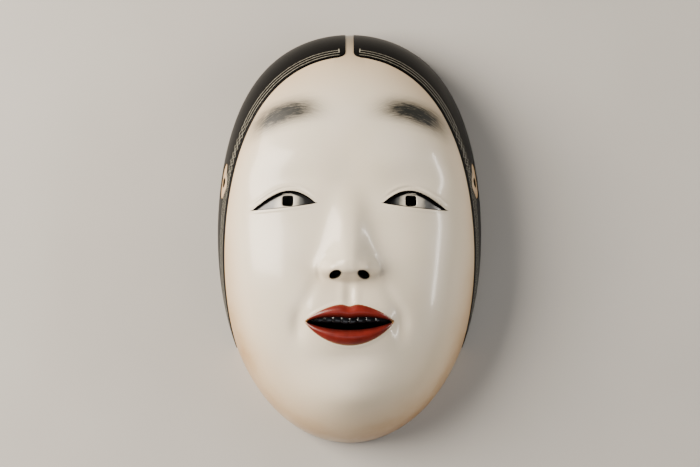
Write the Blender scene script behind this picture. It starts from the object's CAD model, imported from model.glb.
import bpy
import math
import numpy as np
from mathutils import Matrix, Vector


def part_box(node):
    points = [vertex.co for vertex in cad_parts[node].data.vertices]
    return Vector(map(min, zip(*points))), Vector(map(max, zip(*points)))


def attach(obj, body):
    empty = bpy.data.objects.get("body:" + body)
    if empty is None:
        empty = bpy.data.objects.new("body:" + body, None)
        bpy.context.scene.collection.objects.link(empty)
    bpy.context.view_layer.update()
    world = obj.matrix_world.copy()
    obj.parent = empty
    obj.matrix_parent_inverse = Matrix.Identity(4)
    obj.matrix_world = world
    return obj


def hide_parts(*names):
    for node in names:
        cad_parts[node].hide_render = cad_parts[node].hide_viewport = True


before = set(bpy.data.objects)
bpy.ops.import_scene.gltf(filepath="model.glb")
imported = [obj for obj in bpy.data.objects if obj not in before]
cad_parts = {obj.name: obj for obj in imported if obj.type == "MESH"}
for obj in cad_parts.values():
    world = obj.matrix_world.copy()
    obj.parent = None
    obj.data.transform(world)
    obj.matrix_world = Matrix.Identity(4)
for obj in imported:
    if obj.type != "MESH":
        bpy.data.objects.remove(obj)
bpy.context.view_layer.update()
mm = 0.001
sun = 30.3  # mm, the maskmaker's inch: the face is laid out in round numbers of it

# Every shape below is worked out in millimetres, +X right, +Y to the crown, +Z out of the face.
coatLow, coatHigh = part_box("ground_coat")
form = {
    "halfWidth": (coatHigh.x - coatLow.x) / 2 / mm,
    "halfHeight": (coatHigh.y - coatLow.y) / 2 / mm,
    "dome": 1.86 * sun,
    "roundness": 2.6,  # 2 is an elliptical section, more is boxier
    "egg": (0.019, 0.107, 0.068, 0.024),
    "fade": (0.76, 0.98),  # the carving fades out over this share of the way to the rim
    "ground": 0.8,
    "film": 0.3,
    "lining": 0.5,
    "wall": 8.5,
    "faceWall": 10.0,
    "hem": 0.5,  # the coats stop this far above the rim plane
}
top = form["halfHeight"]
face = {
    "eyeLine": top - 3.0 * sun,
    "noseTip": top - 4.0 * sun,
    "noseBase": top - 4.3 * sun,
    "mouthLine": top - 5.0 * sun,
    "chinLine": top - 6.25 * sun,
    "browLine": top - 1.52 * sun,
    "cordLine": top - 2.6 * sun,
    "cordHeight": 22.0,
    "cordLean": 16.0,  # degrees
    "cordRadius": 2.5,
    "eyeMiddle": 32.5,
    "eyeHalf": 16.0,
    "lidDrop": 2.7,
    "lidSlant": 1.5,
    "pupil": 30.5,
    "mouthHalf": 21.5,
    "redOver": 0.7,  # the red of the lips runs this far past the opening's corners
    "nostril": 6.9,
}


# The section from the top of the dome to the rim: share of the way along it, reach, height.
turn = np.linspace(0, np.pi / 2, 4000)
sectionReach = np.sin(turn) ** (2 / form["roundness"])
sectionLift = np.cos(turn) ** (2 / form["roundness"])
pace = np.hypot(np.diff(sectionReach) * form["halfWidth"], np.diff(sectionLift) * form["dome"])
sectionLength = pace.sum()
sectionAlong = np.concatenate([[0], np.cumsum(pace)]) / sectionLength


# Width of the outline against an ellipse's: 1 + e0 q + e1 q^2 + e2 q^3 + e3 q^4, q up the face.
def eggAt(q):
    e = form["egg"]
    return 1 + e[0] * q + e[1] * q**2 + e[2] * q**3 + e[3] * q**4


# A disc point (a, b), whose distance from the middle is the share of the way along the
# section, as x and y on the mask, with its share of the reach.
def discToPlan(a, b, inset=0.0):
    out = np.hypot(a, b)
    share = np.interp(out, sectionAlong, sectionReach)
    start = sectionReach[1] / sectionAlong[1]
    spread = np.where(out > 1e-9, share / np.maximum(out, 1e-9), start)
    q = spread * b
    x = (form["halfWidth"] - inset) * eggAt(q) * spread * a
    return x, (form["halfHeight"] - inset) * q, share


# The other way: x and y as a disc point.
def planToDisc(x, y, inset=0.0):
    q = y / (form["halfHeight"] - inset)
    p = x / ((form["halfWidth"] - inset) * eggAt(q))
    share = np.maximum(np.hypot(p, q), 1e-9)
    out = np.interp(share, sectionReach, sectionAlong)
    return p * out / share, q * out / share


# A place on the side wall, given by y and z, as a disc point; side is +1 or -1.
def sideToDisc(y, z, side, inset=0.0, drop=0.0):
    lift = limited(z / (form["dome"] - drop))
    share = (1 - lift ** form["roundness"]) ** (1 / form["roundness"])
    out = np.interp(share, sectionReach, sectionAlong)
    b = y / (form["halfHeight"] - inset) * out / share
    return side * np.sqrt(np.maximum(out**2 - b**2, 0)), b


# exp(-(x/sx)^2/2 - (y/sy)^2/2): a smooth bump, the same on both sides of the face.
def bump(x, y, cx, cy, sx, sy):
    return np.exp(-(((np.abs(x) - cx) / sx) ** 2) / 2 - ((y - cy) / sy) ** 2 / 2)


# exp(-(t/w)^2): a bell round 0.
def bell(t, w):
    return np.exp(-((t / w) ** 2))


# Cut off below 0 and above 1.
def limited(t):
    return np.clip(t, 0, 1)


# 1 / (1 + exp(-t/w)): a smooth step from 0 to 1.
def rise(t, w):
    return 1 / (1 + np.exp(np.clip(-t / w, -60, 60)))


# The upper and lower lid over x: a slanting line, with an arch of (1 - e^2)^1.25 above it.
def lidLines(x):
    e = np.clip((np.abs(x) - face["eyeMiddle"]) / face["eyeHalf"], -1, 1)
    line = face["eyeLine"] - face["lidDrop"] - face["lidSlant"] * e
    arch = 7.1 * (1 - (e + 0.10 * (1 - e**2)) ** 2) ** 1.25
    return line + arch, line - 0.5 * (1 - e**2)


# The four edges of the lips over x, from the top: red, opening, opening, red.
def lipLines(x):
    half = face["mouthHalf"]
    m = limited(np.abs(x) / half)
    k = limited(np.abs(x) / (half + face["redOver"]))
    corner = face["mouthLine"] + 1.0
    upper = corner + 8.8 * (1 - k**1.9) ** 0.9 - 1.3 * bell(x, 2.8)
    above = corner + 2.4 * (1 - m**4) ** 0.9 - 0.6 * bell(x, 4)
    below = corner - 4.4 * (1 - m**2) ** 0.8
    lower = corner - 11.8 * (1 - k**2) ** 0.85
    return upper, above, below, lower


# The nose: a ridge that rises as t^1.3 from between the brows to the tip, a ball at the tip and
# a wing each side with a groove round it, all cut off under the base.
def carveNose(x, y):
    start = face["eyeLine"] + 11
    t = limited((start - y) / (start - face["noseTip"]))
    width = 4.9 + 3.0 * t
    ridge = 10.4 * t**1.3 * np.exp(-((np.abs(x) / width) ** 2.3) / 1.9)
    ball = 2.7 * bump(x, y, 0, face["noseTip"] - 0.4, 5.8, 5.4)
    wingY = face["noseBase"] + 4.9
    wings = 4.9 * bump(x, y, 9.9, wingY, 3.3, 4.1)
    ring = np.hypot((np.abs(x) - 9.4) / 5.4, (y - wingY) / 6.4)
    groove = -0.85 * bell(ring - 1.08, 0.15) * rise(np.abs(x) - 10.5, 0.8)
    groove = groove * rise(y - wingY + 3.5, 1.2)
    base = face["noseBase"] + 1.3 + 0.012 * x**2
    return (ridge + ball + wings) * rise(y - base, 0.85) + groove


# The swelling of the eyeball in its shallow socket.
def eyeball(x, y):
    eyeX, eyeY = face["eyeMiddle"], face["eyeLine"]
    return 3.2 * bump(x, y, eyeX - 0.5, eyeY + 0.3, 12, 6.4) - 3.3 * bump(x, y, eyeX - 3, eyeY + 5, 13, 8.5)


# The lids over the eyeball, with a fold above the upper lid.
def carveEyes(x, y):
    eyeX, eyeY = face["eyeMiddle"], face["eyeLine"]
    upper, lower = lidLines(x)
    window = rise(14.5 - np.abs(np.abs(x) - eyeX - 1), 0.9)
    fold = y - upper - 2.3
    crease = (-0.5 * bell(fold, 0.5) + 0.32 * bell(fold - 1.1, 0.9)) * window
    lidEdge = 0.28 * bell(y - upper - 0.7, 0.7) * window
    underLid = 0.3 * bell(y - lower + 1.0, 0.8) * window
    browBone = 1.3 * bump(x, y, 31, eyeY + 20, 17, 7.5)
    bridge = -1.2 * bump(x, y, 0, eyeY + 9, 8, 8)
    return eyeball(x, y) + crease + lidEdge + underLid + browBone + bridge


# The swelling that carries the lips.
def muzzle(x, y):
    return 3.4 * bump(x, y, 0, face["mouthLine"], 18, 12.5)


# The lips: each swells as sin(pi s) between its red edge and the opening, with a fine raised
# edge round the red, and the surface turns in towards the teeth.
def carveMouth(x, y):
    line, half = face["mouthLine"], face["mouthHalf"]
    upper, above, below, lower = lipLines(x)
    full = limited(1 - (x / (half + face["redOver"])) ** 2)
    s = limited((y - above) / np.maximum(upper - above, 0.3))
    r = limited((below - y) / np.maximum(below - lower, 0.3))
    swell = 1.5 * full**0.8 * np.sin(np.pi * s**0.85) + 1.9 * full**0.8 * np.sin(np.pi * r**0.8)
    turnIn = -1.5 * full**0.5 * (np.exp(-np.clip(y - above, 0, 9)) * (y > line)
                                 + np.exp(-np.clip(below - y, 0, 9) / 1.2) * (y <= line))
    rim = 0.38 * bell(y - upper - 0.5, 0.7) + 0.42 * bell(y - lower + 0.5, 0.7)
    corners = -1.9 * bump(x, y, half + 3.6, line - 0.5, 2.9, 5.5)
    groove = 0.45 * bump(x, y, 3.5, line + 14.5, 1.5, 4.6) - 0.8 * bump(x, y, 0, line + 14, 1.9, 4.6)
    return swell + turnIn + rim * full**0.4 + muzzle(x, y) + corners + groove


# Everything carved on the dome, added up.
def carveFace(x, y):
    line = face["mouthLine"]
    cheeks = 2.5 * bump(x, y, 34, line + 27, 16, 16)
    run = limited((line + 24 - y) / 24)
    crease = -0.7 * bell(np.abs(x) - 15.5 - 11.5 * run, 3.6) * bump(x, y, 22, line + 12, 30, 8)
    underLip = -2.0 * bump(x, y, 0, line - 17.5, 11, 4.4)
    chin = 5.2 * bump(x, y, 0, face["chinLine"], 15.5, 11)
    jaw = -1.2 * bump(x, y, 30, line - 20, 9, 15)
    return carveNose(x, y) + carveEyes(x, y) + carveMouth(x, y) + cheeks + crease + underLip + chin + jaw


# The hollow behind the nose, mouth and chin.
def carveInside(x, y):
    nose = 9.0 * bump(x, y, 0, face["noseTip"] + 3, 8, 12)
    mouth = 4.0 * bump(x, y, 0, face["mouthLine"], 18, 13)
    chin = 4.0 * bump(x, y, 0, face["chinLine"] + 4, 15, 11)
    return nose + mouth + chin


# A surface: its inset from the outline, drop from the dome, and what is carved on it.
skin = {"inset": 0.0, "drop": 0.0, "carving": carveFace}
underside = {"inset": form["ground"], "drop": form["ground"], "carving": carveFace}
inside = {"inset": form["wall"] + form["lining"], "drop": form["faceWall"] + form["lining"],
          "carving": carveInside}
behindLining = {"inset": form["wall"], "drop": form["faceWall"], "carving": carveInside}


# Points of a surface at disc points: dome times height of section, plus the faded carving.
def surfaceAt(a, b, surface):
    x, y, share = discToPlan(a, b, surface["inset"])
    lift = np.maximum(1 - share ** form["roundness"], 0) ** (1 / form["roundness"])
    low, high = form["fade"]
    fade = limited((high - share) / (high - low))
    z = (form["dome"] - surface["drop"]) * lift + surface["carving"](x, y) * fade**2 * (3 - 2 * fade)
    return np.stack([x, y, z], axis=-1)


# The disc radius at which a surface has come down to height z over the rim plane.
def discEnd(z, drop=0.0):
    share = (1 - (z / (form["dome"] - drop)) ** form["roundness"]) ** (1 / form["roundness"])
    return float(np.interp(share, sectionReach, sectionAlong))


# Quads of a grid of vertex numbers, facing the side from which rows and columns turn left.
def gridFaces(numbers):
    n = numbers
    return np.stack([n[:-1, :-1], n[:-1, 1:], n[1:, 1:], n[1:, :-1]], axis=-1).reshape(-1, 4)


# Marks from zone to zone, each zone given by its end and the step across it.
def marks(start, zones):
    parts = []
    for end, step in zones:
        parts.append(np.linspace(start, end, max(1, round((end - start) / step)), endpoint=False))
        start = end
    return np.append(np.concatenate(parts), start)


# A square grid laid on the disc: a = u sqrt(1 - v^2/2), b = v sqrt(1 - u^2/2), its lines
# closer together over the eyes, nose and mouth. coarse multiplies the spacing.
def discGrid(surface, end, coarse):
    across = marks(0, [(22, 0.78 * coarse), (52, 1.2 * coarse)]) / (form["halfWidth"] - surface["inset"])
    right = np.interp(across, sectionReach, sectionAlong)
    right = np.append(right, np.linspace(right[-1], end, round(28 / coarse))[1:])
    u = np.concatenate([-right[:0:-1], right]) / end
    upZones = [(-62, 1.4), (-33, 0.75), (-9, 0.66), (6, 1.1), (27, 0.8), (52, 1.7)]
    up = marks(-86, [(stop, step * coarse) for stop, step in upZones])
    up = up / (form["halfHeight"] - surface["inset"])
    middle = np.sign(up) * np.interp(np.abs(up), sectionReach, sectionAlong)
    foot = np.linspace(-end, middle[0], round(22 / coarse))[:-1]
    head = np.linspace(middle[-1], end, round(34 / coarse))[1:]
    v = np.concatenate([foot, middle, head]) / end
    v, u = np.meshgrid(v, u, indexing="ij")
    return end * u * np.sqrt(1 - v**2 / 2), end * v * np.sqrt(1 - u**2 / 2)


# The block of cells round each hole, as its first and last row and column. Two sheets of one
# shell are given together, and share blocks that are large enough for both.
def findBlocks(*sheets):
    blocks = []
    for number in range(len(sheets[0][3])):
        wanted = False
        for a, b, surface, holes in sheets:
            hole, points = holes[number], surfaceAt(a, b, surface)
            flat, (low, high) = hole["flat"](points), hole["room"]
            inRoom = np.all((flat > np.array(low)) & (flat < np.array(high)), axis=-1)
            wanted = wanted | (inRoom & (points[..., 0] * hole["side"] >= 0))
        r, c = np.nonzero(wanted)
        r0, r1, c0, c1 = r.min() - 1, r.max() + 1, c.min() - 1, c.max() + 1
        blocks.append((r0, r1 + (r1 - r0) % 2, c0, c1))
    return blocks


# Cuts holes in a grid. Round each hole a block of cells is taken out and filled with rings that
# run from the block's edge to the hole's edge, then down its wall. Returns disc points, a shift
# for each point, the quads, each point's distance from the nearest hole and its hole number.
def cutGrid(a, b, surface, holes, blocks=None):
    blocks = blocks or findBlocks((a, b, surface, holes))
    rows, columns = a.shape
    numbers = np.arange(rows * columns).reshape(rows, columns)
    keep = np.ones((rows - 1, columns - 1), bool)
    points = surfaceAt(a, b, surface)
    allA, allB = [a.ravel()], [b.ravel()]
    shifts, owner = [np.zeros((a.size, 3))], [np.full(a.size, -1)]
    near = [np.full(a.size, 99.0)]  # far from every hole
    faces, total = [], a.size
    for number, hole in enumerate(holes):
        flat = hole["flat"](points)
        r0, r1, c0, c1 = blocks[number]
        keep[r0:r1, c0:c1] = False
        mid = (r0 + r1) // 2
        edge = np.concatenate([numbers[mid:r1, c1], numbers[r1, c1:c0:-1], numbers[r1:r0:-1, c0],
                               numbers[r0, c0:c1], numbers[r0:mid, c1]])
        edgeA, edgeB = a.ravel()[edge], b.ravel()[edge]
        rim = hole["outline"](flat.reshape(-1, 2)[edge])
        rimA, rimB = hole["toDisc"](rim, surface)
        s = 1 - (1 - np.linspace(0, 1, hole["rings"] + 1)[1:, None]) ** hole["crowd"]
        depth = np.array(hole["depths"])[:, None]
        ringA = np.concatenate([edgeA + (rimA - edgeA) * s, rimA + 0 * depth])
        ringB = np.concatenate([edgeB + (rimB - edgeB) * s, rimB + 0 * depth])
        sink = np.concatenate([0 * s, depth])[..., None] * np.array(hole["way"], float)
        sink = np.broadcast_to(sink, (*ringA.shape, 3))
        gap = np.linalg.norm(surfaceAt(ringA, ringB, surface) - surfaceAt(rimA, rimB, surface), axis=-1)
        gap[len(s):] = -np.broadcast_to(depth, gap[len(s):].shape)
        block = total + np.arange(ringA.size).reshape(ringA.shape)
        loop = np.vstack([edge, block])
        loop = np.hstack([loop, loop[:, :1]])
        faces.append(gridFaces(loop))
        allA.append(ringA.ravel())
        allB.append(ringB.ravel())
        shifts.append(sink.reshape(-1, 3))
        near.append(gap.ravel())
        owner.append(np.full(ringA.size, number))
        total += ringA.size
    cells = gridFaces(numbers).reshape(rows - 1, columns - 1, 4)[keep]
    faces = np.concatenate([cells, *faces])
    return (np.concatenate(allA), np.concatenate(allB), np.concatenate(shifts), faces,
            np.concatenate(near), np.concatenate(owner))


# Normals at the vertices: the cross products of the quads' diagonals, summed and made unit.
def normalsOf(points, faces):
    p = points[faces]
    across = np.cross(p[:, 2] - p[:, 0], p[:, 3] - p[:, 1])
    total = np.zeros_like(points)
    for corner in range(4):
        np.add.at(total, faces[:, corner], across)
    return total / np.maximum(np.linalg.norm(total, axis=1, keepdims=True), 1e-12)


# A closed shell from an outer and an inner sheet with the same quads: the inner one is turned
# over, and every open edge is walled. Points that no quad uses are dropped.
def closeShell(outer, inner, faces, values=()):
    used = np.unique(faces)
    renumber = np.full(len(outer), -1)
    renumber[used] = np.arange(len(used))
    faces = renumber[faces]
    count = len(used)
    edges = np.stack([faces, np.roll(faces, -1, axis=1)], axis=-1).reshape(-1, 2)
    there = edges[:, 0] * count + edges[:, 1]
    back = edges[:, 1] * count + edges[:, 0]
    start, stop = edges[~np.isin(there, back)].T
    walls = np.stack([stop, start, start + count, stop + count], axis=-1)
    points = np.vstack([outer[used], inner[used]])
    faces = np.vstack([faces, faces[:, ::-1] + count, walls])
    return points, faces, [np.concatenate([v[used], v[used]]) for v in values]


def addObject(name, data):
    made = bpy.data.objects.new(name, data)
    bpy.context.scene.collection.objects.link(made)
    return made


# Makes a mesh object from points in millimetres and faces, with values at its points, and says
# what it rides on, which CAD nodes it stands for and whose finish it has.
def makePiece(name, points, faces, nodes, material, values):
    mesh = bpy.data.meshes.new(name)
    mesh.from_pydata((points * mm).tolist(), [], faces if isinstance(faces, list) else faces.tolist())
    mesh.polygons.foreach_set("use_smooth", np.ones(len(mesh.polygons), bool))
    for key, value in values.items():
        layer = mesh.attributes.new(key, "FLOAT", "POINT")
        layer.data.foreach_set("value", value.astype(np.float32))
    mesh.validate()
    mesh.update()
    piece = addObject(name, mesh)
    mesh.materials.append(material)
    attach(piece, "root")
    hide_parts(*nodes)
    print("piece", name, len(mesh.vertices), "points", len(mesh.polygons), "faces", flush=True)
    return piece


# An sRGB hex colour as linear red, green, blue, alpha.
def colour(code):
    parts = [int(code[i:i + 2], 16) / 255 for i in (0, 2, 4)]
    return [*(p / 12.92 if p <= 0.04045 else ((p + 0.055) / 1.055) ** 2.4 for p in parts), 1.0]


# Adds a node: settings are its own properties, inputs each a value or a socket to link from.
def add(tree, kind, inputs=None, **settings):
    made = tree.nodes.new(kind)
    for key, value in settings.items():
        setattr(made, key, value)
    for key, value in (inputs or {}).items():
        if isinstance(value, bpy.types.NodeSocket):
            tree.links.new(value, made.inputs[key])
        else:
            made.inputs[key].default_value = value
    return made


# The nodes that come up again and again. Each returns the socket to link from.
def maths(tree, operation, *values, clamp=False):
    made = add(tree, "ShaderNodeMath", dict(enumerate(values)), operation=operation, use_clamp=clamp)
    return made.outputs[0]


def times(tree, one, other, clamp=False):
    return maths(tree, "MULTIPLY", one, other, clamp=clamp)


def valueOf(tree, attribute):
    return add(tree, "ShaderNodeAttribute", attribute_name=attribute).outputs["Fac"]


def placeOf(tree):
    return add(tree, "ShaderNodeTexCoord").outputs["Object"]


def noise(tree, vector, scale, detail, roughness=0.5):
    inputs = {"Vector": vector, "Scale": scale, "Detail": detail, "Roughness": roughness}
    return add(tree, "ShaderNodeTexNoise", inputs).outputs["Fac"]


def stretched(tree, vector, scale, rotation=(0, 0, 0)):
    return add(tree, "ShaderNodeMapping", {"Vector": vector, "Rotation": rotation, "Scale": scale}).outputs[0]


# A ramp of colours, each with its place. A new ramp has two stops already, its ends.
def ramp(tree, value, *stops):
    made = add(tree, "ShaderNodeValToRGB", {"Fac": value})
    elements = made.color_ramp.elements
    for index, (place, code) in enumerate(stops):
        stop = elements[index] if index < 2 else elements.new(place)
        stop.position, stop.color = place, colour(code)
    return made.outputs[0]


def paintOver(tree, share, under, code):
    return add(tree, "ShaderNodeMix", {0: share, 6: under, 7: colour(code)}, data_type="RGBA").outputs[2]


# Turns the range from low to high into the range from first to last.
def mapped(tree, value, first, last, low=0.0, high=1.0):
    inputs = {"Value": value, "From Min": low, "From Max": high, "To Min": first, "To Max": last}
    return add(tree, "ShaderNodeMapRange", inputs).outputs[0]


def relief(tree, height, strength, depth):
    return add(tree, "ShaderNodeBump", {"Height": height, "Strength": strength, "Distance": depth}).outputs[0]


def newMaterial(name):
    material = bpy.data.materials.new(name)
    material.use_nodes = True
    tree = material.node_tree
    tree.nodes.clear()
    return material, tree


# Ends a material: a Principled shader with these inputs.
def finishMaterial(tree, inputs):
    shader = add(tree, "ShaderNodeBsdfPrincipled", inputs)
    add(tree, "ShaderNodeOutputMaterial", {"Surface": shader.outputs[0]})


# Shell white: ground oyster shell in animal glue, brushed on in many coats and polished with a
# wet cloth. It is a warm ivory with a satin sheen, faint brush ripples, ochre toning at the edges.
def shellWhite():
    material, tree = newMaterial("polishedShellWhite")
    look = {"warm": "E2C79C", "ochre": "B98C52", "ink": "0B0A0A", "brow": "2B2C29", "shadow": "2A2619"}
    place = placeOf(tree)
    cloud = noise(tree, place, 28.0, 4.0, 0.55)
    base = ramp(tree, cloud, (0.3, "EDE2CB"), (0.7, "F2E9D7"))
    tone = valueOf(tree, "tone")
    patchy = maths(tree, "MULTIPLY_ADD", cloud, 0.9, -0.45)
    toneAt = maths(tree, "MULTIPLY_ADD", patchy, tone, tone, clamp=True)
    toned = paintOver(tree, toneAt, base, look["warm"])
    edged = paintOver(tree, maths(tree, "POWER", toneAt, 3.0), toned, look["ochre"])
    # brows: soft ink smudges of fine strokes
    slope = add(tree, "ShaderNodeAttribute", attribute_name="strokes").outputs["Vector"]
    strokes = mapped(tree, noise(tree, slope, 1.0, 3.0, 0.7), 0.6, 1.0, 0.30, 0.56)
    browAt = times(tree, strokes, valueOf(tree, "brow"), clamp=True)
    browed = paintOver(tree, browAt, edged, look["brow"])
    hollowed = paintOver(tree, valueOf(tree, "hollow"), browed, look["shadow"])
    inkAt = maths(tree, "ADD", valueOf(tree, "ink"), 0.0, clamp=True)
    inked = paintOver(tree, inkAt, hollowed, look["ink"])
    # brush ripples about 1.1 mm apart, lying across the face
    ripple = noise(tree, stretched(tree, place, (160, 900, 160), (0, 0, -0.12)), 1.0, 2.0)
    fine = maths(tree, "MULTIPLY_ADD", noise(tree, place, 900.0, 2.0), 0.25, ripple)
    # ink is matt
    shine = mapped(tree, inkAt, 0.5, 0.0)
    rough = maths(tree, "MULTIPLY_ADD", inkAt, 0.35, mapped(tree, cloud, 0.30, 0.40))
    finishMaterial(tree, {"Base Color": inked, "Roughness": rough, "Normal": relief(tree, fine, 0.5, 0.00007),
                          "IOR": 1.5, "Specular IOR Level": shine, "Coat Weight": shine,
                          "Coat Roughness": 0.13})
    return material


# Ink under a polished glaze: near black, with fine pale hair lines painted with a single-hair
# brush, which turn into a plaited band down the sides.
def inkHair():
    material, tree = newMaterial("glazedInk")
    line = {"edge": 1.45, "gap": 1.55, "width": 0.145, "stop": 2.6, "beat": 3.4, "swing": 1.5}  # mm
    across, along, band = valueOf(tree, "across"), valueOf(tree, "along"), valueOf(tree, "band")
    plan = add(tree, "ShaderNodeCombineXYZ", {"X": along, "Y": across}).outputs[0]
    drift = maths(tree, "MULTIPLY_ADD", noise(tree, plan, 0.22, 2.0), 0.5, -0.25)
    # plaiting: each line swings from side to side by a sine of the length along the hairline
    regular = times(tree, along, 2 * math.pi / line["beat"])
    beat = maths(tree, "MULTIPLY_ADD", noise(tree, plan, 0.35, 1.0), 3.6, regular)
    strokes = []
    for number in range(3):
        swing = maths(tree, "SINE", maths(tree, "ADD", beat, number * 2 * math.pi / 3))
        swayed = times(tree, times(tree, swing, band), line["swing"] + 0.15 * number)
        spread = times(tree, band, (1 - number) * line["gap"] * 0.9)
        home = line["edge"] + line["width"] + number * line["gap"]
        middle = maths(tree, "ADD", maths(tree, "ADD", maths(tree, "ADD", swayed, spread), home), drift)
        off = maths(tree, "ABSOLUTE", maths(tree, "SUBTRACT", across, middle))
        strokes.append(mapped(tree, off, 1.0, 0.0, line["width"] * 0.45, line["width"] * 1.05))
    total = maths(tree, "MAXIMUM", maths(tree, "MAXIMUM", strokes[0], strokes[1]), strokes[2])
    # a loaded brush runs dry and is filled again
    load = mapped(tree, noise(tree, plan, 0.9, 3.0), 0.45, 1.0, 0.3, 0.65)
    begun = mapped(tree, along, 0.0, 1.0, line["stop"], line["stop"] + 0.5)
    shown = times(tree, times(tree, total, load), begun)
    faded = times(tree, shown, valueOf(tree, "lines"))
    # a short tick across the outer two lines, where they stop beside the parting
    nearEnd = maths(tree, "COMPARE", along, line["stop"] + 0.3, 0.17)
    onTick = maths(tree, "COMPARE", across, line["edge"] + 1.9 * line["gap"], 1.3)
    painted = maths(tree, "MAXIMUM", faded, times(tree, nearEnd, onTick))
    patch = noise(tree, placeOf(tree), 45.0, 4.0)
    black = ramp(tree, patch, (0.35, "030303"), (0.75, "09090A"))
    comb = noise(tree, stretched(tree, plan, (0.12, 2.2, 1)), 1.0, 3.0)
    finishMaterial(tree, {"Base Color": paintOver(tree, painted, black, "BFBCAC"),
                          "Roughness": mapped(tree, patch, 0.34, 0.46),
                          "Normal": relief(tree, comb, 0.35, 0.00008),
                          "IOR": 1.33, "Specular IOR Level": 0.2})
    return material


# Vermilion: mercury red in glue, brushed on thin over gold ochre, which shows as a fine line at
# the edge. Red and satin, darker towards the opening and the corners.
def vermilion():
    material, tree = newMaterial("vermilion")
    place = placeOf(tree)
    red = ramp(tree, noise(tree, place, 180.0, 4.0), (0.3, "681B14"), (0.72, "84261B"))
    dark = paintOver(tree, valueOf(tree, "inner"), red, "1E0605")
    edged = paintOver(tree, valueOf(tree, "hem"), dark, "C99A5B")
    brush = noise(tree, stretched(tree, place, (500, 1400, 500)), 1.0, 2.0)
    finishMaterial(tree, {"Base Color": edged, "Roughness": 0.34, "Normal": relief(tree, brush, 0.4, 0.00006),
                          "IOR": 1.5, "Coat Weight": 0.3, "Coat Roughness": 0.2})
    return material


# The painted eye: shell white beside the pupil hole, shaded with ink to black at the corners.
def eyePaint():
    material, tree = newMaterial("inkedShellWhite")
    cloud = noise(tree, placeOf(tree), 420.0, 3.0)
    soft = maths(tree, "MULTIPLY_ADD", cloud, 0.16, -0.08)
    level = maths(tree, "ADD", valueOf(tree, "shade"), soft, clamp=True)
    paint = ramp(tree, level, (0.0, "E4DDCB"), (1.0, "060607"),
                 (0.25, "CFC9BA"), (0.5, "5F6262"), (0.75, "1C1D1F"))
    finishMaterial(tree, {"Base Color": paint, "Roughness": 0.3, "Normal": relief(tree, cloud, 0.2, 0.00005),
                          "IOR": 1.5, "Coat Weight": 0.4, "Coat Roughness": 0.12})
    return material


# Black lacquer on the teeth: brushed on thick, very glossy, with soft runs.
def toothBlack():
    material, tree = newMaterial("blackLacquer")
    cloud = noise(tree, placeOf(tree), 320.0, 3.0)
    black = ramp(tree, cloud, (0.3, "08080A"), (0.8, "1B1C20"))
    finishMaterial(tree, {"Base Color": black, "Roughness": 0.16, "Normal": relief(tree, cloud, 0.5, 0.00025),
                          "IOR": 1.55, "Coat Weight": 0.6, "Coat Roughness": 0.06})
    return material


# Brown lacquer rubbed into chiselled wood: semi-gloss, thin on the high edges of the gouge marks.
def brownLacquer():
    material, tree = newMaterial("rubbedLacquer")
    place = placeOf(tree)
    cloud = noise(tree, place, 22.0, 5.0, 0.6)
    brown = ramp(tree, cloud, (0.3, "2A140C"), (0.72, "4A2616"))
    worn = paintOver(tree, valueOf(tree, "ridge"), brown, "5A3420")
    grain = noise(tree, stretched(tree, place, (700, 60, 700)), 1.0, 3.0)
    finishMaterial(tree, {"Base Color": worn, "Roughness": mapped(tree, cloud, 0.26, 0.46),
                          "Normal": relief(tree, grain, 0.4, 0.00008),
                          "IOR": 1.5, "Coat Weight": 0.25, "Coat Roughness": 0.2})
    return material


# Japanese cypress, planed at the rim: straight pale grain, lines 1 to 2 mm apart along the mask.
def cypress():
    material, tree = newMaterial("planedCypress")
    place = placeOf(tree)
    grain = noise(tree, stretched(tree, place, (620, 14, 240), (0.05, 0.22, 0.03)), 1.0, 4.0, 0.6)
    tint = ramp(tree, grain, (0.32, "A67B4C"), (0.66, "CFAE7E"))
    dirt = mapped(tree, noise(tree, place, 35.0, 4.0), 0.0, 0.45, 0.45, 0.8)
    tinted = paintOver(tree, dirt, tint, "6E4A2A")
    walls = paintOver(tree, valueOf(tree, "blacked"), tinted, "0A0807")
    finishMaterial(tree, {"Base Color": walls, "Roughness": 0.62, "Normal": relief(tree, grain, 0.5, 0.0001)})
    return material


def planOf(points):
    return points[..., :2]


def planDisc(rim, surface):
    return planToDisc(rim[:, 0], rim[:, 1], surface["inset"])


def wallDisc(side):
    return lambda rim, surface: sideToDisc(rim[:, 0], rim[:, 1], side, surface["inset"], surface["drop"])


def angleFrom(points, centre):
    return np.arctan2(points[:, 1] - centre[1], points[:, 0] - centre[0])


def stepsAt(angle):
    return np.stack([np.cos(angle), np.sin(angle)], axis=-1)


# Radius of an ellipse at an angle: long high / sqrt((high cos)^2 + (long sin)^2).
def ellipse(angle, long, high):
    return long * high / np.hypot(high * np.cos(angle), long * np.sin(angle))


# Radius of |x|^n + |y|^n = 1 at an angle: a square with rounded corners.
def roundedSquare(angle, n):
    return (np.abs(np.cos(angle)) ** n + np.abs(np.sin(angle)) ** n) ** (-1 / n)


# An almond's edge: x goes from corner to corner as a cosine, y follows the upper line on the
# way out and the lower line on the way back. grow moves the edge outwards.
def almond(count, middle, half, lines, grow=0.0):
    t = np.arange(count) / count
    x = middle + (half + grow) * np.cos(2 * np.pi * t)
    upper, lower = lines(middle + (x - middle) * half / (half + grow))
    return np.stack([x, np.where(t < 0.5, upper + grow * 0.6, lower - grow * 0.6)], axis=-1)


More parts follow.
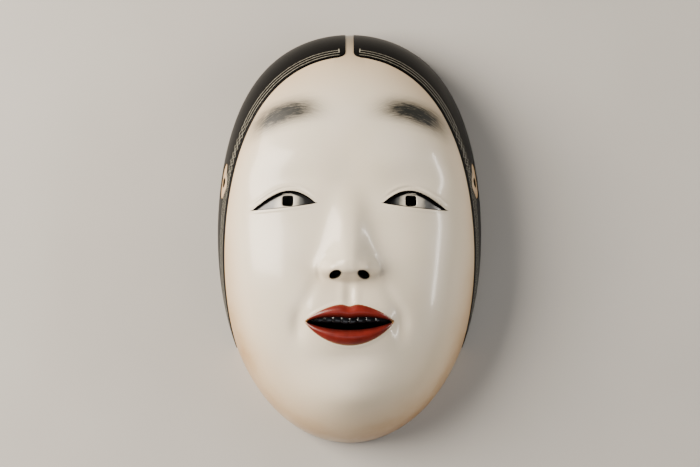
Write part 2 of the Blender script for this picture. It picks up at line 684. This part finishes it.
def eyeHole(side, grow=0.0):
    middle, half, eyeY = face["eyeMiddle"] * side, face["eyeHalf"], face["eyeLine"]
    return {
        "side": side, "flat": planOf, "toDisc": planDisc, "rings": 20, "crowd": 2.0,
        "room": ((middle - half - 2.6, eyeY - 7.5), (middle + half + 2.6, eyeY + 8.6)),
        "outline": lambda edge: almond(len(edge), middle, half, lidLines, grow),
        "depths": (0.25, 0.8, 1.6, 2.6, 3.4), "way": (0, 0, -1),
    }


def mouthHole(grow=0.0):
    half, line = face["mouthHalf"], face["mouthLine"]
    return {
        "side": 0, "flat": planOf, "toDisc": planDisc, "rings": 26, "crowd": 1.7,
        "room": ((-half - 3, line - 13.5), (half + 3, line + 12.5)),
        "outline": lambda edge: almond(len(edge), 0, half, lambda x: lipLines(x)[1:3], grow),
        "depths": (0.3, 1.0, 2.2, 3.6, 5.0), "way": (0, 0, -1),
    }


# An ellipse leaned by its tilt, its points at the same angles as the block's edge.
def nostrilHole(side, grow=0.0):
    sizes = {"long": 3.0, "high": 2.0, "tilt": 0.18, "up": 2.5}
    centre = np.array([side * face["nostril"], face["noseBase"] + sizes["up"]])

    def outline(edge):
        angle = angleFrom(edge, centre)
        x, y = (ellipse(angle, sizes["long"] + grow, sizes["high"] + grow)[:, None] * stepsAt(angle)).T
        return centre + np.stack([x, y - sizes["tilt"] * side * x], axis=-1)
    return {
        "side": side, "flat": planOf, "toDisc": planDisc, "rings": 9, "crowd": 1.5,
        "room": (centre - (4.1, 3.2), centre + (4.1, 3.2)),
        "outline": outline, "depths": (0.3, 1.0, 2.0, 3.5, 5.5), "way": (0, 0.4, -1),
    }


# The round cord hole in the side wall, which falls by inward tan(lean) on its way in.
def cordHole(side, grow=0.0, inward=0.0):
    lean = math.radians(face["cordLean"])
    centre = np.array([face["cordLine"], face["cordHeight"] - inward * math.tan(lean)])
    return {
        # points that aren't in this side's wall are put out of reach
        "side": side, "flat": lambda points: np.where(points[..., :1] * side > 30, points[..., 1:], 999.0),
        "toDisc": wallDisc(side), "rings": 6, "crowd": 1.3, "room": (centre - 4.8, centre + 4.8),
        "outline": lambda edge: centre + (face["cordRadius"] + grow) * stepsAt(angleFrom(edge, centre)),
        "depths": (0.15, 0.5, 1.2, 2.2), "way": (-side * math.cos(lean), 0, -math.sin(lean)),
    }


mouthNumber, nostrilNumbers, firstCordNumber = 2, (3, 4), 5


# Every opening, in the order of their numbers. depths are those of the walls, if not their own.
def allHoles(grow=0.0, depths=None, inward=0.0):
    holes = [eyeHole(1, grow), eyeHole(-1, grow), mouthHole(grow), nostrilHole(1, grow), nostrilHole(-1, grow),
             cordHole(1, grow, inward), cordHole(-1, grow, inward)]
    return [{**hole, "depths": depths or hole["depths"]} for hole in holes]


# The ground coat over the whole front, with its lids, lips and nostrils turned inwards.
def makeGroundCoat():
    sizes = {"browHalf": 18.0, "browHigh": 5.6, "browMiddle": 33.0, "browTilt": 0.30,
             "stroke": 6.0, "hair": 0.45, "lidInk": 0.12}
    end = discEnd(form["hem"])
    a, b = discGrid(skin, end, 1.0)
    a, b, shift, faces, near, owner = cutGrid(a, b, skin, allHoles())
    outer = surfaceAt(a, b, skin) + shift
    normals = normalsOf(outer, faces)
    x, y = outer[:, 0], outer[:, 1]
    # the coat thins out at the sharp corners of the openings and round the nostrils
    e = (np.abs(x) - face["eyeMiddle"]) / face["eyeHalf"]
    run = face["eyeLine"] - face["lidDrop"] - face["lidSlant"] * e
    tips = np.minimum(np.hypot((np.abs(e) - 1) * face["eyeHalf"], y - run),
                      np.hypot(np.abs(x) - face["mouthHalf"], y - face["mouthLine"] - 1))
    thin = 1 - 0.85 * bell(tips, 2.2)
    atNostril = np.isin(owner, nostrilNumbers)
    thin = np.where(atNostril, 0.35, thin)
    inner = outer - form["ground"] * thin[:, None] * normals
    share = discToPlan(a, b)[2]
    # the toning begins nearer the middle above the brows
    begins = 0.66 - 0.2 * rise(y - face["browLine"] + 6, 14)
    tone = 0.95 * limited((share - begins) / (1 - begins)) ** 1.5
    tone *= 1 - 0.2 * rise(y - top + 13, 2.5) * (np.abs(x) < 8)
    tone += 0.14 * bump(x, y, 0, face["mouthLine"] - 1, 24, 13)
    tone += 0.25 * bump(x, y, 8, face["noseBase"] + 2, 7, 4)
    # lid ink: how far inside its line a point is, over lidInk, with the lines running on past
    # the corners and thinning to nothing
    upper, lower = lidLines(x)
    upper, lower = np.where(np.abs(e) > 1, run, upper), np.where(np.abs(e) > 1, run, lower)
    thin = np.clip((1.13 - np.abs(e)) / 0.3, -0.2, 1)
    over = np.where(y > (upper + lower) / 2, 0.75 * thin - (y - upper), 0.32 * thin - (lower - y))
    ink = np.clip(over / sizes["lidInk"], -4, 4) * (np.abs(e) < 1.5)
    ink = np.where(owner == mouthNumber, np.clip((-0.5 - near) / 0.5, -4, 4), ink)
    hollow = np.where(atNostril, limited((0.9 - near) / 2.6), 0.0)
    hollow = np.maximum(hollow, np.where(owner >= firstCordNumber, limited((0.1 - near) / 0.3), 0.0))
    # the parting darkens towards the crown
    hollow = np.maximum(hollow, 0.78 * rise(y - top + 11, 3.5) * (np.abs(x) < 8))
    cosT, sinT = math.cos(sizes["browTilt"]), math.sin(sizes["browTilt"])

    def alongAndOver(x, y):
        dx, dy = np.abs(x) - sizes["browMiddle"], y - face["browLine"]
        return dx * cosT - dy * sinT, dx * sinT + dy * cosT, dx
    # a brow fades as exp(-1.1 p^3 - 0.9 r^2.6), p along it and r across its arch
    along, over, _ = alongAndOver(x, y)
    p = along / sizes["browHalf"]
    r = over / sizes["browHigh"] + 0.55 * p**2
    brow = 1.3 * np.exp(-np.abs(p) ** 3.0 * 1.1 - np.abs(r) ** 2.6 * 0.9)
    points, faces, values = closeShell(outer, inner, faces, [tone, ink, hollow, brow])
    piece = makePiece("groundCoat", points, faces, ["ground_coat"], shellWhite(),
                      dict(zip(("tone", "ink", "hollow", "brow"), values)))
    # stroke coordinates: along each brow in stroke lengths, across it in hairs, apart by side
    along, over, dx = alongAndOver(points[:, 0], points[:, 1])
    side = np.sign(points[:, 0])
    over = (over + 0.02 * dx**2) / sizes["hair"]
    strokes = np.stack([along / sizes["stroke"] + 9 * side, over, side], axis=-1)
    layer = piece.data.attributes.new("strokes", "FLOAT_VECTOR", "POINT")
    layer.data.foreach_set("vector", strokes.astype(np.float32).ravel())
    return piece


# The cypress block: the same openings, a little wider, through to the hollow.
def makeWoodBody():
    sizes = {"grow": 0.9, "depths": (0.4,), "clear": 0.6, "clearFrom": 4.0, "coarse": 2.2}
    outHoles = allHoles(sizes["grow"], sizes["depths"])
    inHoles = allHoles(sizes["grow"], sizes["depths"], form["wall"])
    a, b = discGrid(underside, 1.0, sizes["coarse"])
    backA, backB = discGrid(behindLining, 1.0, sizes["coarse"])
    blocks = findBlocks((a, b, underside, outHoles), (backA, backB, behindLining, inHoles))
    outA, outB, shift, faces, near, owner = cutGrid(a, b, underside, outHoles, blocks)
    outer = surfaceAt(outA, outB, underside) + shift
    inA, inB = cutGrid(backA, backB, behindLining, inHoles, blocks)[:2]
    inner = surfaceAt(inA, inB, behindLining)

    # the block stays a little clear of the coat and the lining, but not at the rim
    def clearBy(sheet):
        return sizes["clear"] * limited(sheet[:, 2:] / sizes["clearFrom"]) * normalsOf(sheet, faces)
    outer, inner = outer - clearBy(outer), inner + clearBy(inner)
    black = ((near < 1.2) & (owner >= 0)).astype(float)
    points, faces, values = closeShell(outer, inner, faces, [black])
    return makePiece("woodBody", points, faces, ["wood_body"], cypress(), {"blacked": values[0]})


# The lacquer inside, with gouge marks: staggered scallops, each depth (1 - (2f - 1)^2) deep
# over its width and faded at its ends.
def makeLining():
    gouge = {"width": 9.0, "length": 21.0, "depth": 0.55, "sweep": 62.0, "thick": 0.45}
    end = discEnd(form["hem"], inside["drop"])
    a, b = discGrid(inside, end, 1.5)
    a, b, shift, faces, near, _ = cutGrid(a, b, inside, allHoles(0.4, (0.3,), form["wall"] + form["lining"]))
    front = surfaceAt(a, b, inside) - shift
    normals = normalsOf(front, faces)
    columnAt = np.arctan2(a, 0.55) * gouge["sweep"] / gouge["width"]
    column = np.floor(columnAt)
    f = columnAt - column
    stagger = np.modf(np.sin(column * 12.9898) * 43758.5453)[0]
    along = front[:, 1] / gouge["length"] + stagger + 0.35 * np.sin(column * 2.1)
    row = np.floor(along)
    g = along - row
    strength = 0.6 + 0.4 * np.sin(column * 7.3 + row * 4.1)
    hollow = (1 - (2 * f - 1) ** 2) * limited(np.minimum(g, 1 - g) / 0.16) ** 0.5 * strength
    fadeRim = limited((end - np.hypot(a, b)) / 0.05)
    mark = gouge["depth"] * hollow * fadeRim * limited(near / 2)
    visible = front + normals * mark[:, None]
    back = front + normals * (form["lining"] + gouge["thick"])
    ridge = limited(1 - hollow * 4) * 0.8 * fadeRim
    points, faces, values = closeShell(back, visible, faces, [ridge])
    return makePiece("lacquerLining", points, faces, ["lacquer_lining"], brownLacquer(),
                     {"ridge": values[0]})


# One side of the hair: a fan of lines from the hairline to the hem, round from the parting to
# where the hairline meets the rim, with the bare patch for the ear cut out.
def makeHair(side):
    sizes = {"band": 0.54 * sun, "end": math.radians(124), "parting": 4.2, "flare": 3.6, "columns": 190,
             "rows": 40, "earLong": 9.6, "earHigh": 5.3, "plaitFrom": 60, "plaitOver": 35, "linesEnd": 20}
    end = discEnd(form["hem"])

    # the disc radius of the hairline at an angle from the crown: its band narrows as 1 - (angle/end)^2
    def hairline(angle):
        return np.interp(1 - sizes["band"] / form["halfHeight"] * (1 - (angle / sizes["end"]) ** 2),
                         sectionReach, sectionAlong)
    j = np.linspace(0, 1, sizes["columns"] + 1) ** 1.25
    t = np.linspace(0, 1, sizes["rows"] + 1)[:, None] ** 1.15
    angle = j * sizes["end"] * 0.988
    start = hairline(angle)
    out = start + (end - start) * t
    # the parting's edge, rounded where it opens on the forehead: half + r - sqrt(r^2 - (r - d)^2)
    first = hairline(0)
    firstOut = first + (end - first) * t
    depth = (firstOut - first) * sectionLength * 1.28
    left = np.clip(sizes["flare"] - depth, 0, None)
    edge = sizes["parting"] / 2 + sizes["flare"] - np.sqrt(np.maximum(sizes["flare"] ** 2 - left**2, 0))
    q = np.interp(firstOut, sectionAlong, sectionReach)
    opening = np.arcsin(edge / (form["halfWidth"] * eggAt(q) * q))
    fan = opening + (angle - opening * angle / angle[-1])
    a, b = out * np.sin(fan) * side, out * np.cos(fan)
    centre = np.array([face["cordLine"], face["cordHeight"]])

    def outline(edgePoints):
        angle = angleFrom(edgePoints, centre)
        wave = 1 + 0.10 * np.cos(3 * angle + 0.6) + 0.07 * np.cos(2 * angle + 2.4) + 0.035 * np.sin(7 * angle)
        r = wave * ellipse(angle, sizes["earLong"], sizes["earHigh"])
        return centre + r[:, None] * stepsAt(angle)
    ear = {
        "side": side, "flat": lambda points: points[..., 1:],
        "toDisc": wallDisc(side), "rings": 7, "crowd": 1.4,
        "room": (centre - (12.5, 8.2), centre + (12.5, 8.2)), "outline": outline,
        "depths": (0.05,), "way": (0, 0, 0),
    }
    a, b, _, faces, _, _ = cutGrid(a, b, skin, [ear])
    ground = surfaceAt(a, b, skin)
    normals = normalsOf(ground, faces)
    if np.mean(normals[:, 2]) < 0:
        faces, normals = faces[:, ::-1], -normals
    # distances along and across the hairline, in mm, for the painted lines
    turnAt = np.arctan2(np.abs(a), b)
    lineOut = hairline(turnAt)
    away = ground - surfaceAt(lineOut * np.sin(turnAt) * side, lineOut * np.cos(turnAt), skin)
    across = (np.linalg.norm(away, axis=1) + np.hypot(away[:, 0], away[:, 1])) / 2
    sweep = np.linspace(0, sizes["end"], 400)
    path = surfaceAt(hairline(sweep) * np.sin(sweep), hairline(sweep) * np.cos(sweep), skin)
    length = np.concatenate([[0], np.cumsum(np.linalg.norm(np.diff(path, axis=0), axis=1))])
    along = np.interp(turnAt, sweep, length) - sizes["parting"] / 2
    band = limited((along - sizes["plaitFrom"]) / sizes["plaitOver"])
    lines = limited((length[-1] - sizes["linesEnd"] - along) / 14)
    thick = form["film"] * np.clip(across / 0.5, 0.25, 1)[:, None]
    outer, inner = ground + normals * (0.04 + thick), ground - normals * 0.17
    name = "hairRight" if side > 0 else "hairLeft"
    points, faces, values = closeShell(outer, inner, faces, [across, along, band, lines])
    return makePiece(name, points, faces, ["hair_right" if side > 0 else "hair_left"],
                     bpy.data.materials.get("glazedInk") or inkHair(),
                     dict(zip(("across", "along", "band", "lines"), values)))


# One lip: a strip of film between its red edge and the opening, then in over the edge.
def makeLip(upper):
    sizes = {"columns": 150, "rows": 22, "film": 0.22, "depth": 1.8}
    half, redHalf = face["mouthHalf"], face["mouthHalf"] + face["redOver"]
    e = -np.cos(np.linspace(0.03, 0.97, sizes["columns"] + 1) * np.pi)
    t = np.linspace(0, 1, sizes["rows"] + 1)[:, None]
    s = limited(t / 0.8)
    lines = lipLines(e * half)
    red = lipLines(e * redHalf)
    outY, inY = (red[0], lines[1]) if upper else (red[3], lines[2])
    x = e * redHalf * (1 - s) + e * half * s
    y = outY * (1 - s) + inY * s
    a, b = planToDisc(x, y)
    sink = limited((t - 0.8) / 0.2) * sizes["depth"]
    ground = surfaceAt(a, b, skin)
    ground[..., 2] -= sink
    ground[..., 1] -= np.sign(sink) * (0.06 if upper else -0.06)
    faces = gridFaces(np.arange(ground[..., 0].size).reshape(ground.shape[:2]))
    if upper:
        faces = faces[:, ::-1]
    flat = ground.reshape(-1, 3)
    normals = normalsOf(flat, faces)
    taper = np.clip(np.minimum(s / 0.12, (1 - np.abs(e)) / 0.02), 0.15, 1) + 0 * s
    outer = flat + normals * (sizes["film"] * taper.reshape(-1, 1) + 0.05)
    inner = flat - normals * 0.12
    dark = 0.75 * limited((s - 0.62) / 0.38) ** 1.5 + 0.7 * limited((np.abs(e) - 0.7) / 0.3) ** 1.5
    dark = limited(dark + limited(sink / 0.8))
    hem = limited((0.55 - np.abs(y - outY)) / 0.35) * (0.35 if upper else 0.8)
    name = "upperLip" if upper else "lowerLip"
    points, faces, values = closeShell(outer, inner, faces, [dark.ravel(), hem.ravel()])
    return makePiece(name, points, faces, ["upper_lip" if upper else "lower_lip"],
                     bpy.data.materials.get("vermilion") or vermilion(),
                     {"inner": values[0], "hem": values[1]})


# A painted eye behind the lids: rings from the square pupil hole out to an almond under the
# lids, then the walls of the hole.
def makeEye(side):
    sizes = {"pupil": 2.8, "corner": 5.0, "depth": 1.5, "thick": 1.0, "under": 1.1, "rings": 26, "count": 128,
             "walls": (5.0, 2.0, 0.5)}
    middle = face["eyeMiddle"] * side
    rim = almond(sizes["count"], middle, face["eyeHalf"], lidLines, sizes["under"])
    centre = np.array([side * face["pupil"], face["eyeLine"] + 0.2])
    t = np.arange(sizes["count"]) / sizes["count"] * 2 * np.pi
    hole = centre + sizes["pupil"] * roundedSquare(t, sizes["corner"])[:, None] * stepsAt(t)
    s = np.linspace(0, 1, sizes["rings"] + 1)[:, None, None]
    plan = hole * (1 - s) + rim * s
    x, y = plan[..., 0], plan[..., 1]
    ground = surfaceAt(*planToDisc(x, y), {"inset": 0.0, "drop": 0.0, "carving": lambda x, y: 0 * x})
    ground[..., 2] += eyeball(x, y) - sizes["depth"]
    walls = ground[:1] - np.array([0, 0, 1.0]) * np.array(sizes["walls"])[:, None, None]
    ground = np.concatenate([walls, ground])
    numbers = np.arange(ground[..., 0].size).reshape(ground.shape[:2])
    faces = gridFaces(np.hstack([numbers, numbers[:, :1]]))
    flat = ground.reshape(-1, 3)
    normals = normalsOf(flat, faces)
    if normals[len(flat) // 2, 2] < 0:
        faces, normals = faces[:, ::-1], -normals
    inner = flat - sizes["thick"] * normals
    # shaded with the distance from the pupil hole, more slowly outwards, and black under the lids
    px = np.abs(flat[:, 0]) - face["pupil"]
    away = limited((np.abs(px) - sizes["pupil"]) / np.where(px > 0, 11.5, 8.0))
    upper, lower = lidLines(flat[:, 0])
    underLid = limited(flat[:, 1] - upper + 1.5) + limited((lower + 0.35 - flat[:, 1]) / 0.3)
    shade = limited(away**0.75 + underLid)
    shade[:walls[..., 0].size] = 1.0
    name = "eyeRight" if side > 0 else "eyeLeft"
    points, faces, values = closeShell(flat, inner, faces, [shade])
    return makePiece(name, points, faces, ["eye_right" if side > 0 else "eye_left"],
                     bpy.data.materials.get("inkedShellWhite") or eyePaint(), {"shade": values[0]})


# The blackened upper teeth: a rounded bar carried across the mouth, whose height and thickness
# swell and pinch as |sin| at each tooth, the middle pair the widest.
def makeTeeth():
    sizes = {"half": 19.4, "count": 8, "high": 4.6, "thick": 3.4, "depth": 2.3, "columns": 240, "loop": 28,
             "corner": 3.2}
    x = np.linspace(-1, 1, sizes["columns"] + 1) * sizes["half"]
    m = x / sizes["half"]
    wave = np.abs(np.sin(np.pi * sizes["count"] / 2 * (m * (1.16 - 0.16 * m**2)))) ** 0.45
    y0 = lipLines(x)[1]
    plain = {"inset": 0.0, "drop": 0.0, "carving": muzzle}
    z0 = surfaceAt(*planToDisc(x, y0), plain)[:, 2] - sizes["depth"] - 1.0 * m**2
    high = sizes["high"] * (0.93 + 0.07 * wave) * (1 - 0.30 * m**2)
    thick = sizes["thick"] * (0.70 + 0.30 * wave)
    turnAt = np.linspace(0, 2 * np.pi, sizes["loop"], endpoint=False)[:, None]
    box = roundedSquare(turnAt, sizes["corner"])
    y = y0 + 1.3 - high / 2 + high / 2 * box * np.cos(turnAt) * (0.97 + 0.03 * wave)
    z = z0 - sizes["thick"] / 2 + thick / 2 * box * np.sin(turnAt) + 0.25 * np.cos(turnAt)
    grid = np.stack([np.broadcast_to(x, y.shape), y, z], axis=-1)
    # both ends are drawn in to half their size and closed with a fan
    for column in (0, -1):
        grid[:, column] = (grid[:, column] + grid[:, column].mean(0)) / 2
    rows, columns = grid.shape[:2]
    numbers = np.arange(rows * columns).reshape(rows, columns)
    faces = gridFaces(np.vstack([numbers, numbers[:1]]))[:, ::-1]
    points = grid.reshape(-1, 3)
    ends = np.stack([grid[:, 0].mean(0), grid[:, -1].mean(0)])
    caps = []
    for column, tip in ((0, len(points)), (columns - 1, len(points) + 1)):
        loop, after = numbers[:, column], np.roll(numbers[:, column], -1)
        first, second = (loop, after) if column else (after, loop)
        caps.append(np.stack([first, second, np.full(rows, tip)], axis=-1))
    faces = faces.tolist() + np.vstack(caps).tolist()
    points = np.vstack([points, ends])
    return makePiece("upperTeeth", points, faces, ["upper_teeth"], toothBlack(), {})


# A plain pale floor, finely textured so that it isn't one flat colour.
def makeFloor():
    mesh = bpy.data.meshes.new("floor")
    size = 2.4
    corners = [(-size, -size, 0), (size, -size, 0), (size, size, 0), (-size, size, 0)]
    mesh.from_pydata(corners, [], [(0, 1, 2, 3)])
    floor = addObject("floor", mesh)
    material, tree = newMaterial("paleFloor")
    pale = ramp(tree, noise(tree, placeOf(tree), 9.0, 3.0), (0.3, "BDBBB6"), (0.7, "C3C1BC"))
    finishMaterial(tree, {"Base Color": pale, "Roughness": 0.8})
    mesh.materials.append(material)


# A soft rectangular light that looks at the middle of the mask.
def addLight(name, place, size, power, tint):
    data = bpy.data.lights.new(name, "AREA")
    data.shape = "RECTANGLE"
    data.size, data.size_y = size
    data.energy = power
    data.color = colour(tint)[:3]
    light = addObject(name, data)
    look = np.array((0, 0, 0.03)) - np.array(place)
    flat = math.hypot(look[0], look[1])
    light.location = place
    light.rotation_euler = (math.atan2(flat, -look[2]), 0, math.atan2(look[1], look[0]) - math.pi / 2)


def makeStage():
    makeFloor()
    addLight("key", (-0.84, 0.22, 0.60), (0.75, 0.80), 33.0, "FFF3E4")
    addLight("strip", (0.68, 0.03, 0.36), (0.66, 0.05), 3.4, "FFF8F0")
    addLight("sky", (-0.1, -0.7, 1.1), (1.0, 0.6), 1.4, "F2F5FF")
    world = bpy.data.worlds.new("studio")
    world.use_nodes = True
    background = world.node_tree.nodes["Background"].inputs
    background[0].default_value, background[1].default_value = colour("B8BCC4"), 0.05
    bpy.context.scene.world = world


# The camera looks down on the mask, chin at the bottom of the frame, through a long lens.
def makeCamera():
    view = {"lens": 92.0, "distance": 0.915, "elevation": 86.0, "middle": (0.0003, 0.0012, 0.022)}
    data = bpy.data.cameras.new("camera")
    data.lens = view["lens"]
    data.sensor_width = 36.0
    data.clip_start, data.clip_end = 0.05, 20.0
    camera = addObject("camera", data)
    tilt = math.radians(view["elevation"])
    x, y, z = view["middle"]
    camera.location = (x, y - view["distance"] * math.cos(tilt), z + view["distance"] * math.sin(tilt))
    camera.rotation_euler = (math.pi / 2 - tilt, 0, 0)
    bpy.context.scene.camera = camera


makeStage()
makeCamera()
print("stage done", flush=True)
makeGroundCoat()
makeWoodBody()
makeLining()
makeHair(1)
makeHair(-1)
makeLip(True)
makeLip(False)
makeEye(1)
makeEye(-1)
makeTeeth()
print("pieces done", flush=True)
